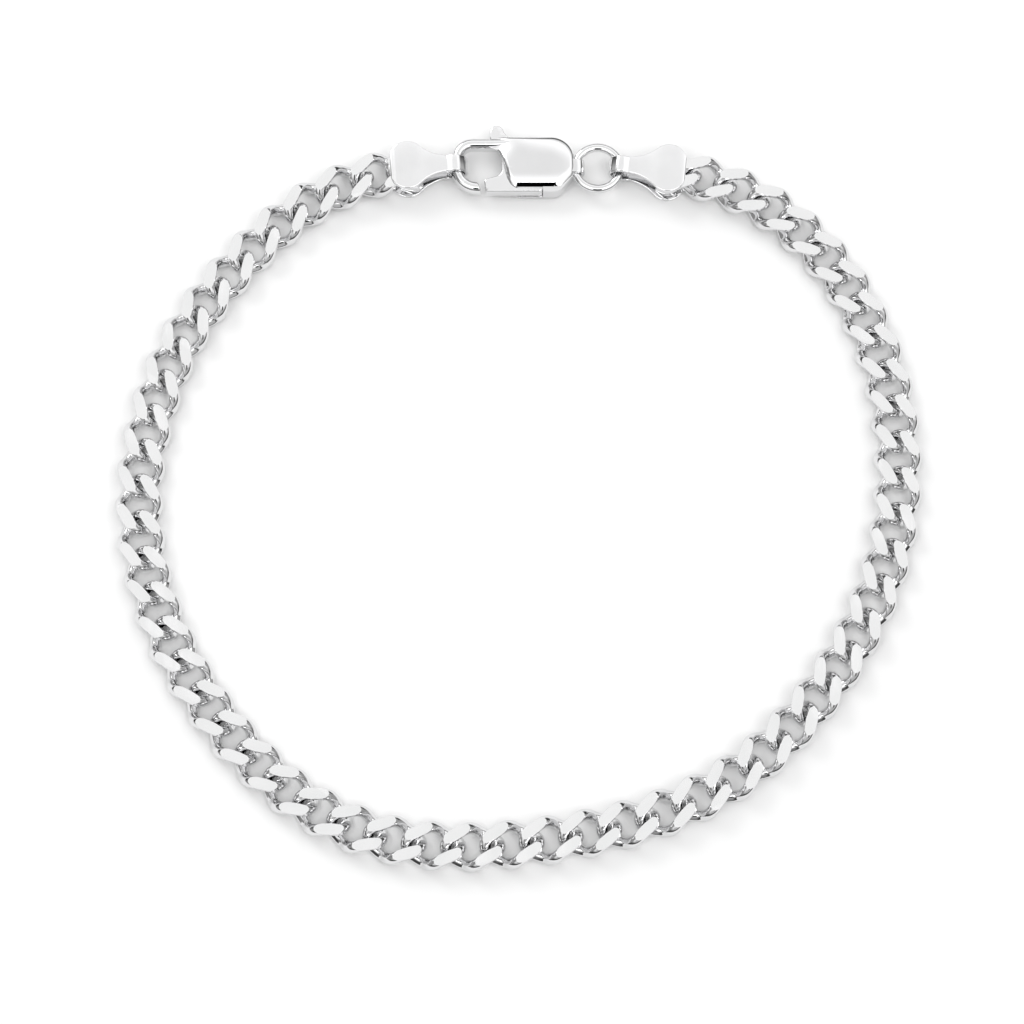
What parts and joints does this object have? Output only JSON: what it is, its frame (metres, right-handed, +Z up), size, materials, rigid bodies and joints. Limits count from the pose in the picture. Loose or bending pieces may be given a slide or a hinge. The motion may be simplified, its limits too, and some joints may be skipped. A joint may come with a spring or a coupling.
{
  "type": "curb link bracelet with lever clasp",
  "caption": "Closed curb link bracelet in polished silver, lying flat, with folded end caps, a jump ring and a hook clasp with a hinged lever.",
  "frame": {"origin": "centre of the whole bracelet on the table it lies on", "axes": "+X to the right across the clasp towards the jump ring, +Y from the viewer to the clasp, +Z up from the table"},
  "size_m": [0.0646, 0.0625, 0.0022],
  "materials": {
    "silver_links": "polished and ground flat",
    "silver_caps": "polished",
    "silver_ring": "polished wire",
    "silver_clasp": "polished casting",
    "silver_lever": "polished casting",
    "steel_pin": "satin"
  },
  "bodies": {
    "bracelet": {"chain_left": "silver_links", "chain_right": "silver_links", "end_cap_left": "silver_caps", "end_cap_right": "silver_caps", "jump_ring": "silver_ring", "clasp_body": "silver_clasp", "pivot_pin": "steel_pin"},
    "lever": {"clasp_lever": "silver_lever"}
  },
  "joints": [
    {"name": "lever_hinge", "type": "hinge", "parent": "bracelet", "child": "lever", "pos_m": [0.00097, 0.0261, 0.00105], "axis": [0, 0, 1], "range_deg": [-20, 0], "stiffness_Nm_per_rad": 0.0002, "springref_deg": 1.72}
  ]
}
